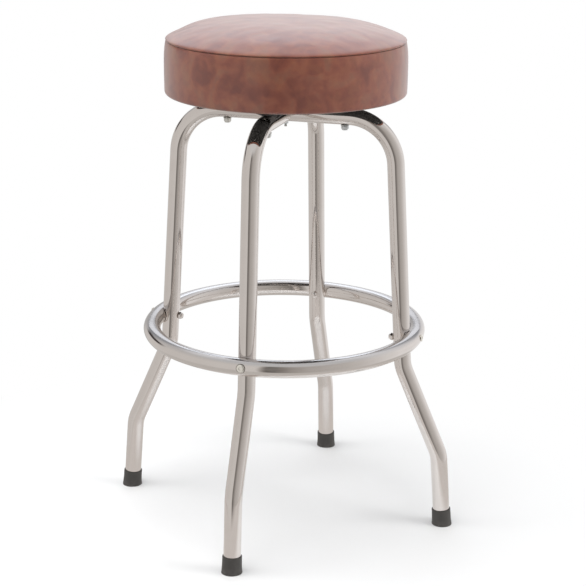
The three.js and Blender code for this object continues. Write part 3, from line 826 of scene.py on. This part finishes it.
# Dust cover and its staples
# A disc of black bonded cloth, stretched over the underside of the board and the
# turned-in edge of the side band, and held by a ring of wire staples.
cover_radius = 168.8
cover_thickness = 0.6
cover_z = 650.7
cover_drop = 1.5
cover_steps = 160
cover_rings = 12
step_start = 145.5
lap_rings = (148.8, 152, 156, cover_radius)
sag_depth = 0.35
sag_start = 106
sag_fade = 12
dimple_rate = 3600
staple_count = 26
staple_radius = 162.4
staple_z = 648.6
staple_half = 5.2
staple_width = 0.55
staple_wire = 0.55
staple_shoulder = 0.5
staple_bend = 0.15
staple_leg = 5
staple_cant = 0.3


def bonded_cloth_look(place):
    """Bonded black cloth: pressed dimples in rows, and short fibres."""
    fibre = place.stretched(1, 3, 1).noise(1500, 4, 0.7)
    rows = (place.along(0) * dimple_rate).maths("SINE")
    columns = (place.along(1) * dimple_rate).maths("SINE")
    dimple = rows * columns
    dust = place.noise(45, 5, 0.65)
    return {
        "Base Color": dust.blend((0.012, 0.012, 0.012), (0.042, 0.040, 0.038)),
        "Roughness": 0.82 + fibre * 0.12,
        "Normal": (fibre + dimple * 0.4).bump(0.15, 0.7),
    }


bonded_cloth = make_material("bonded_dust_cloth", bonded_cloth_look)

inner_rings = [step_start * ring / cover_rings for ring in range(cover_rings + 1)]
cover_line = [(radius, cover_thickness) for radius in inner_rings]
cover_line += [(radius, cover_thickness - cover_drop) for radius in lap_rings]
bm = turned(cover_line, cover_steps)
for vert in bm.verts:
    radius = vert.co.xy.length
    sag = sag_depth * max(0, noise.noise(vert.co * 0.035))
    sag *= min(1, max(0, (radius - sag_start) / sag_fade))
    sag *= min(1, max(0, (step_start - radius) / sag_fade))
    vert.co.z += cover_z - sag
face_up(bm)
cover = add_piece("stapled_dust_cover", bm, "seat", "dust_cloth", bonded_cloth, "dust_cover")
add_wall(cover, cover_thickness)

bm = bmesh.new()
for index in range(staple_count):
    wire = bmesh.new()
    bmesh.ops.create_grid(wire, x_segments=8, y_segments=1, size=1)
    for vert in wire.verts:
        vert.co = Vector((vert.co.x * staple_half, vert.co.y * staple_width, 0))
    for end in (-1, 1):
        edge_x = end * staple_half
        tip = [e for e in wire.edges if all(abs(v.co.x - edge_x) < 0.01 for v in e.verts)]
        for drop, inset in ((staple_shoulder, staple_bend), (staple_leg, 0)):
            low, tip = extrude(wire, tip)
            bmesh.ops.translate(wire, verts=low, vec=(end * inset, 0, drop))
    face_out(wire)
    bmesh.ops.solidify(wire, geom=wire.faces[:], thickness=staple_wire)
    angle = 2 * math.pi * (index + 0.5) / staple_count
    cant = staple_cant * math.sin(index * 2.4)
    turn = Matrix.Rotation(angle + math.pi / 2 + cant, 4, "Z")
    spot = Vector((staple_radius * math.cos(angle), staple_radius * math.sin(angle), staple_z))
    bmesh.ops.transform(wire, matrix=Matrix.Translation(spot) @ turn, verts=wire.verts)
    mesh = bpy.data.meshes.new("staple")
    wire.to_mesh(mesh)
    wire.free()
    bm.from_mesh(mesh)
    bpy.data.meshes.remove(mesh)
add_piece("cover_staples", bm, "seat", "zinc", zinc)

# Foam
# A disc of cream upholstery foam, glued to the board and wrapped down round its edge.
# It fills the sewn cover and is squeezed a little by it.
foam_steps = 120
board_top = 663.9
board_skirt = 171.1
seat_radius = 176.9
band_base = 650.1
seam_height = 727.1
full_height = 729.5
panel_radius = 174.3
crown_height = 26.6
crown_fullness = 2.7
crown_shoulder = 1.22
crown_rings = 24
foam_inset = 3.5
foam_sunk = 2.6

# Points up the foam's side: how far inside the cover, and how far over its lower edge.
foam_side = ((3.6, 8), (2.2, 36), (3.4, 60))

# Points of its shoulder: how far inside the cover, and how far under the seam.
foam_shoulder = ((6, 6), (12, 0))


def foam_look(place):
    """Open-cell foam: small round cells, darker in the middle as painted shade in the pores, a
    little yellowed.
    """
    cells = place.node("ShaderNodeTexVoronoi", {}, {"Vector": place, "Scale": 900.0})
    tone = place.noise(25, 3).blend((0.74, 0.62, 0.36), (0.85, 0.76, 0.52))
    return {
        "Base Color": (cells * 0.8).blend((0.45, 0.34, 0.16), tone),
        "Roughness": 0.9 + cells * 0.08,
        "Normal": cells.bump(0.5, 0.8),
    }


foam_stuff = make_material("cushion_foam", foam_look)


def crown(share):
    """Height of the crown above the top panel's fullest ring, at a share of its radius."""
    return crown_height * max(0, 1 - share ** crown_fullness) ** (1 / crown_shoulder)


foam_line = [(0, board_top), (board_skirt, board_top), (board_skirt, band_base + 6)]
foam_line += [(seat_radius - inset, band_base + rise) for inset, rise in foam_side]
foam_line += [(seat_radius - inset, seam_height - drop) for inset, drop in foam_shoulder]
foam_line.append((panel_radius - 5.5, full_height + 2))
foam_peak = full_height - foam_sunk
for step in range(1, crown_rings):
    share = math.cos(math.pi / 2 * step / crown_rings)
    foam_line.append(((panel_radius - foam_inset) * share, foam_peak + crown(share)))
foam_line.append((0, foam_peak + crown_height))
bm = turned(foam_line, foam_steps)
foam = add_piece("cut_foam_pad", bm, "seat", "foam", foam_stuff, "seat_foam")

# Side band
# A strip of brown coated upholstery, closed by one upright seam at the back, drawn
# down over the foam, turned in under the board and stapled. Its top edge is sewn.
cover_skin = 1.2
band_height = 77
band_steps = 300
band_rows = 26
band_top_share = 0.985
lower_draw = 0.4
lower_round = 4
lower_round_steps = 6
seam_draw = 3.1
turned_in_rings = (148.8, 156, 163)
seam_pucker = 0.7
pucker_reach = 9
back_seam_depth = 0.9
back_seam_half = 0.85
back_seam_cuts = (-1.6, -0.8, 0.8, 1.6)
band_lets_go = (0.03, 0.23)
band_takes_hold = (0.8, 0.97)
band_press = 3
band_swell = 1.4
lump_rate = 17
pucker_waves = ((0.6, 0.055), (0.4, 0.13))

# Points of the seam allowance: how far in from the edge, and how far below the top.
seam_allowance = ((0.15, 0.3), (0.8, 0), (3.2, 0.1), (6.7, 0.1))


def hide_look(place):
    """Brown coated upholstery: wiped in soft patches over a fine leather grain."""
    drift = place.noise(9, 2)
    patch = place.stretched(1, 1, 0.85).noise(34, 2, 0.5, 0.6)
    wiped = place.noise(58, 3, 0.55, 0.4)
    speck = place.noise(420, 3, 0.6)
    cells = place.node("ShaderNodeTexVoronoi", {}, {"Vector": place, "Scale": 700.0})
    warm = patch.ramp(
        (0.37, (0.135, 0.024, 0.007)),
        (0.46, (0.188, 0.040, 0.014)),
        (0.54, (0.236, 0.065, 0.026)),
        (0.64, (0.216, 0.084, 0.039)),
    )
    cool = wiped.ramp(
        (0.37, (0.140, 0.033, 0.024)),
        (0.50, (0.192, 0.047, 0.029)),
        (0.63, (0.244, 0.076, 0.036)),
    )
    tone = (0.2 + drift * 0.5).blend(warm, cool)
    return {
        "Base Color": (speck * 0.16).blend(tone, (0.10, 0.028, 0.015)),
        "Roughness": 0.34 + drift * 0.08 + speck * 0.05,
        "Normal": (cells * 0.7 + speck * 0.5).bump(0.08, 0.4),
    }


hide = make_material(
    "brown_upholstery", hide_look, IOR=1.5,
    Coat_Weight=1.0, Coat_Roughness=0.3, Coat_IOR=1.5,
    Sheen_Weight=0.1, Sheen_Roughness=0.4, Sheen_Tint=(1.0, 0.93, 0.94, 1.0),
)


def band_line():
    """The outer face of the band, from its turned-in edge up to the seam allowance."""
    low = seat_radius - lower_draw
    line = [(radius, band_base) for radius in (*turned_in_rings, low - lower_round)]
    for step in range(1, lower_round_steps + 1):
        angle = math.pi / 2 * step / lower_round_steps
        out = low - lower_round * (1 - math.sin(angle))
        line.append((out, band_base + lower_round * (1 - math.cos(angle))))
    first = lower_round / band_height
    for row in range(1, band_rows + 1):
        share = first + (band_top_share - first) * row / band_rows
        below = max(0, 0.5 - share) / 0.45
        above = max(0, share - 0.5) / 0.5
        draw = lower_draw * below ** 2 + seam_draw * above ** 3
        line.append((seat_radius - draw, band_base + band_height * share))
    edge = seat_radius - seam_draw
    top = seam_height - rest_gap / 2
    return line + [(edge - inset, top - drop) for inset, drop in seam_allowance]


def waves(spot, layers):
    """Adds up slow noises, each given by its height and its rate."""
    return sum(height * noise.noise(spot * rate) for height, rate in layers)


def pucker(spot):
    """How far the stitching pulls the cover in or lets it out, round the seam."""
    return seam_pucker * waves(spot, pucker_waves)


bm = turned(band_line(), band_steps)
for offset in back_seam_cuts:
    rear = [v for v in bm.verts if v.co.y > 0]
    rear += [e for e in bm.edges if all(v.co.y > 0 for v in e.verts)]
    rear += [f for f in bm.faces if all(v.co.y > 0 for v in f.verts)]
    cut = (offset, 0, 0)
    bmesh.ops.bisect_plane(bm, geom=rear, dist=0.001, plane_co=cut, plane_no=(1, 0, 0))
for vert in bm.verts:
    if vert.co.z < band_base + 1:
        continue
    near_seam = math.exp((vert.co.z - seam_height) / pucker_reach)
    out = vert.co.xy.length + near_seam * pucker(vert.co)
    if vert.co.y > 0:
        out -= back_seam_depth * math.exp(-((vert.co.x / back_seam_half) ** 2))
    vert.co.xy = vert.co.xy.normalized() * out
band = add_piece("sewn_side_band", bm, "seat", "upholstery", hide, "seat_side_band", crease=80)


def stuff(piece, held, press, most):
    """Lets the foam push a cover out by a cloth simulation, no further than most."""
    last_frame = 20
    mesh = piece.data
    trial = bpy.data.objects.new("trial_cover", mesh.copy())
    scene.collection.objects.link(trial)
    pins = trial.vertex_groups.new(name="held")
    fill = trial.vertex_groups.new(name="fill")
    for vert in mesh.vertices:
        pins.add([vert.index], held(vert.co), "REPLACE")
        lump = 0.5 + 0.7 * noise.fractal(vert.co * lump_rate, 0.8, 2.0, 2)
        fill.add([vert.index], min(max(lump, 0), 1), "REPLACE")
    cloth = trial.modifiers.new("cloth", "CLOTH")
    settings = cloth.settings
    settings.quality = 6
    settings.mass = 0.4
    settings.tension_stiffness = 30
    settings.compression_stiffness = 30
    settings.shear_stiffness = 12
    settings.bending_stiffness = 4
    settings.use_pressure = True
    settings.uniform_pressure_force = press
    settings.vertex_group_pressure = "fill"
    settings.vertex_group_mass = "held"
    settings.effector_weights.gravity = 0
    cloth.point_cache.frame_start = 1
    cloth.point_cache.frame_end = last_frame
    for step in range(1, last_frame + 1):
        scene.frame_set(step)
    swollen = trial.evaluated_get(bpy.context.evaluated_depsgraph_get()).data
    moves = [after.co - before.co for before, after in zip(mesh.vertices, swollen.vertices)]
    for vert, move in zip(mesh.vertices, moves):
        limit = most * mm
        vert.co += move * math.tanh(move.length / limit) * limit / max(move.length, 1e-9)
    bpy.data.objects.remove(trial)
    scene.frame_set(1)
    mesh.update()


def band_hold(spot):
    """Held where it is turned in below and at the seam above, and free between."""
    share = (spot.z / mm - band_base) / band_height
    return 1 - smooth_step(share, *band_lets_go) * (1 - smooth_step(share, *band_takes_hold))


stuff(band, band_hold, band_press, band_swell)
add_wall(band, cover_skin)

# Top panel
# A disc of the same upholstery, cut over size, sewn to the band with a plain seam and
# pulled over the crowned foam, which shows through it as slow, shallow hollows.
panel_cells = 84
even_reach = 0.5
even_share = 0.55
crowding = 1.222
fuller_spot = Vector((-127, 36, 752))
fuller_height = 2.4
fuller_width = 52
fuller_fade = (0.86, 0.96)
settled_edge = 0.8
settled_share = 0.93
settled_width = 0.07
slack_waves = ((0.9, 0.017), (0.5, 0.05))
slack_drop = 0.3
panel_press = 4
panel_swell = 2.2
panel_free = 6

# Rings of the rim, from the fullest one in to the end of the seam allowance.
panel_rim = (
    (panel_radius - 0.05, full_height - 0.9),
    (panel_radius - 0.3, full_height - 1.7),
    (panel_radius - 0.85, seam_height + 0.3),
    (panel_radius - 1.9, seam_height + 0.15),
    (panel_radius - 7, seam_height + 0.25),
)


def settled(spot, share):
    """How the used cushion differs from a true crown: fuller at one shoulder."""
    away = (spot.xy - fuller_spot.xy).length / fuller_width
    lump = fuller_height * math.exp(-(away ** 2)) * (1 - smooth_step(share, *fuller_fade))
    edge = settled_edge * math.exp(-(((share - settled_share) / settled_width) ** 2))
    slack = waves(spot, slack_waves) - slack_drop
    return lump - edge + slack * (1 - share ** 6)


def ring_share(reach):
    """Where a square ring of the panel's grid goes, closer together by the seam."""
    if reach <= even_reach:
        return reach * even_share / even_reach
    return 1 - (1 - even_share) * ((1 - reach) / (1 - even_reach)) ** crowding


bm = bmesh.new()
bmesh.ops.create_grid(bm, x_segments=panel_cells, y_segments=panel_cells, size=1)
for vert in bm.verts:
    x, y = vert.co.xy
    wide = abs(x) >= abs(y)
    along, side = (x, y) if wide else (y, x)
    if along != 0:
        turn = math.pi / 4 * side / along
        share = ring_share(abs(along))
        radius = math.copysign(panel_radius * share, along)
        along, side = radius * math.cos(turn), radius * math.sin(turn)
        x, y = (along, side) if wide else (side, along)
        vert.co = Vector((x, y, full_height + crown(share)))
        vert.co.z += settled(vert.co, share)
    else:
        vert.co.z = full_height + crown_height
rim = [edge for edge in bm.edges if edge.is_boundary]
for radius, height in panel_rim:
    verts, rim = extrude(bm, rim)
    for vert in verts:
        away = vert.co.xy.normalized()
        vert.co.xy = away * (radius + pucker(Vector((*away * seat_radius, seam_height))))
        vert.co.z = height
face_out(bm)
face_up(bm)
panel = add_piece("sewn_top_panel", bm, "seat", "upholstery", hide, "seat_top_panel", crease=80)


def panel_hold(spot):
    """Held at the seam, and free from a little way up the crown."""
    return 1 - smooth_step((spot.z / mm - full_height + 0.5) / panel_free)


stuff(panel, panel_hold, panel_press, panel_swell)
soft = panel.modifiers.new("soft folds", "SUBSURF")
soft.levels = 1
soft.render_levels = 1
add_wall(panel, cover_skin)

# Studio
# A pale floor that keeps the stool's shadow and runs on as a white sweep, soft boxes
# above, behind and at the sides, and the camera where the photograph was taken from.
eye = Vector((0.6956, -2.3236, 1.0824))
camera_turn = math.atan2(eye.y, eye.x)
camera_level = Vector((-0.2817, 0.9595, 0)).normalized()
camera_pitch = 0.2955
camera_roll = 0.0085
focal_length = 103.1
floor_half = 30
shade_middle = (-0.04, -0.06, 0)
shade_ends = (0.3, 0.68)
mirror_middle = (0.1, -0.05, 0)
painted_reflection_ends = (0.16, 0.30)
mirror_ends = (0.12, 0.30)
graze_shift = 0.42


def ray_is(start, *kinds):
    """1 for rays of any of these kinds: 0 is camera, 3 glossy and 6 transmission."""
    rays = [start.node("ShaderNodeLightPath", {}, {}, output=kind) for kind in kinds]
    found = rays[0]
    for ray in rays[1:]:
        found = found.maths("MAXIMUM", ray)
    return found


def paper_look(start):
    """Paper, with painted shade near the stool, that goes over into a white sweep; polished
    metal sees a painted grey reflection round the middle and looks past the rest.
    """
    place = start.node("ShaderNodeTexCoord", {}, {}, output=3)
    tone = place.noise(300, 3).blend((0.82, 0.82, 0.82), (0.84, 0.84, 0.84))
    matt = start.node("ShaderNodeBsdfDiffuse", {}, {"Color": tone})
    sweep = start.node("ShaderNodeEmission", {}, {})
    # The camera sees the greyer matt paper near shade_middle: the lamps' real shadows fall on
    # it, and its greyer tone is also a painted pool of shade fading into the white sweep.
    seen = ray_is(start, 0) * place.distance(shade_middle).step(*shade_ends)
    near = seen.between(matt, sweep)
    beyond = start.node("ShaderNodeBsdfTransparent", {}, {})
    graze = start.node("ShaderNodeLayerWeight", {}, {"Blend": 0.5}, output=1)
    apart = place.distance(mirror_middle)
    mirrored = ray_is(start, 3, 6)
    # Further out, polished metal sees a grey glow instead of the paper: a painted reflection.
    painted_reflection_glow = start.node("ShaderNodeEmission", {}, {"Color": (0.68, 0.65, 0.63, 1)})
    painted_reflection_share = mirrored * apart.step(*painted_reflection_ends)
    near = painted_reflection_share.between(near, painted_reflection_glow)
    past = mirrored * (apart - graze * graze_shift).step(*mirror_ends)
    return past.between(near, beyond)


paper = bpy.data.materials.new("studio_paper")
paper.use_nodes = True
paper.node_tree.nodes.clear()
start = Shade(paper.node_tree)
start.node("ShaderNodeOutputMaterial", {}, {"Surface": paper_look(start)}, output=None)

bm = bmesh.new()
bmesh.ops.create_grid(bm, x_segments=8, y_segments=8, size=floor_half)
floor_mesh = bpy.data.meshes.new("studio_floor")
bm.to_mesh(floor_mesh)
bm.free()
floor_mesh.materials.append(paper)
floor = bpy.data.objects.new("studio_floor", floor_mesh)
scene.collection.objects.link(floor)


def studio_round(start):
    """What polished metal reflects: grey walls with dark gaps, and a pale ceiling."""
    way = start.node("ShaderNodeTexCoord", {}, {}, output=0)
    side = way.along(0)
    depth = way.along(1)
    height = way.along(2)
    turn = ((depth.maths("ARCTAN2", side) - camera_turn) / (2 * math.pi)).maths("FRACT")
    walls = turn.ramp(
        (0.000, (0.20, 0.18, 0.16)), (0.018, (0.32, 0.30, 0.28)),
        (0.050, (0.42, 0.40, 0.38)), (0.097, (0.48, 0.46, 0.44)),
        (0.131, (0.53, 0.51, 0.49)), (0.167, (0.60, 0.58, 0.56)),
        (0.205, (0.69, 0.67, 0.66)), (0.247, (0.80, 0.79, 0.78)),
        (0.295, (0.90, 0.89, 0.89)), (0.357, (0.94, 0.93, 0.93)),
        (0.500, (0.92, 0.91, 0.91)), (0.530, (0.48, 0.47, 0.46)),
        (0.560, (0.50, 0.49, 0.48)), (0.590, (0.66, 0.64, 0.62)),
        (0.800, (0.66, 0.64, 0.62)), (0.938, (0.70, 0.68, 0.66)),
        (0.950, (0.30, 0.28, 0.26)), (0.960, (0.07, 0.06, 0.05)),
        (0.980, (0.09, 0.08, 0.07)), (1.000, (0.20, 0.18, 0.16)),
    )
    clutter = way.noise(3.5, 2, 0.5)
    walls = (0.4 * clutter).blend(walls, (0.66, 0.64, 0.63))
    behind = turn.step(0.34, 0.42) * (1 - turn.step(0.58, 0.66)) * height.step(0.14, 0.30)
    walls = behind.blend(walls, (0.33, 0.34, 0.36))
    gap = turn.step(0.58, 0.61) * (1 - turn.step(0.66, 0.70))
    gap = gap * height.step(0.05, 0.12) * (1 - height.step(0.24, 0.32))
    walls = gap.blend(walls, (0.05, 0.04, 0.04))
    walls = height.step(-0.56, -0.44).blend((0.58, 0.56, 0.54), walls)
    frontward = side * math.cos(camera_turn) + depth * math.sin(camera_turn)
    above = frontward.step(-0.4, 0.1).blend((0.97, 0.97, 0.98), (0.68, 0.68, 0.68))
    return height.step(0.62, 0.85).blend(walls, above)


world = bpy.data.worlds.new("studio")
scene.world = world
world.use_nodes = True
world.node_tree.nodes.clear()
start = Shade(world.node_tree)
glow = start.node("ShaderNodeBackground", {}, {"Color": (1, 1, 1, 1), "Strength": 0.5})
white = start.node("ShaderNodeBackground", {}, {"Color": (1, 1, 1, 1)})
walls = start.node("ShaderNodeBackground", {}, {"Color": studio_round(start)})
lit = ray_is(start, 0).between(glow, white)
lit = ray_is(start, 3, 6).between(lit, walls)
start.node("ShaderNodeOutputWorld", {}, {"Surface": lit}, output=None)


def soft_box(name, spot, aim, width, height, power, mirrored=False, tint=(1, 1, 1)):
    """A square lamp. Polished metal shows it only where it is mirrored."""
    lamp = bpy.data.lights.new(name, "AREA")
    lamp.color = tint
    lamp.shape = "RECTANGLE"
    lamp.size = width
    lamp.size_y = height
    lamp.energy = power
    box = bpy.data.objects.new(name, lamp)
    box.location = spot
    box.rotation_euler = (Vector(aim) - Vector(spot)).to_track_quat("-Z", "Y").to_euler()
    box.visible_glossy = mirrored
    scene.collection.objects.link(box)


soft_box("box_above", (-0.6, -0.5, 2.9), (0, 0, 0.4), 2.4, 2.4, 58)
soft_box("box_right", (3.03, 0.1, 1.6), (0, 0, 0.4), 1.6, 2.2, 53)
soft_box("box_left", (-2.8, -1.2, 1.6), (0, 0, 0.4), 1.6, 2.2, 18)
cool = (0.94, 0.96, 1)
cooler = (0.80, 0.90, 1)
soft_box("box_behind", (-0.75, 2.6, 1.95), (0, 0, 0.75), 3.2, 1.6, 12, True, cool)
soft_box("box_high", (-0.65, 2.2, 2.9), (0, 0, 0.75), 2.4, 1.4, 8.6, True, cooler)

straight_up = Vector((0, 0, 1))
ahead = camera_level * math.cos(camera_pitch) - straight_up * math.sin(camera_pitch)
across = ahead.cross(straight_up).normalized()
upward = across.cross(ahead)
across, upward = (
    across * math.cos(camera_roll) + upward * math.sin(camera_roll),
    upward * math.cos(camera_roll) - across * math.sin(camera_roll),
)
lens = bpy.data.cameras.new("camera")
lens.sensor_width = 36
lens.lens = focal_length
camera = bpy.data.objects.new("camera", lens)
aim = Matrix((across, upward, -ahead)).transposed().to_4x4()
camera.matrix_world = Matrix.Translation(eye) @ aim
scene.collection.objects.link(camera)
scene.camera = camera
scene.view_settings.view_transform = "Standard"
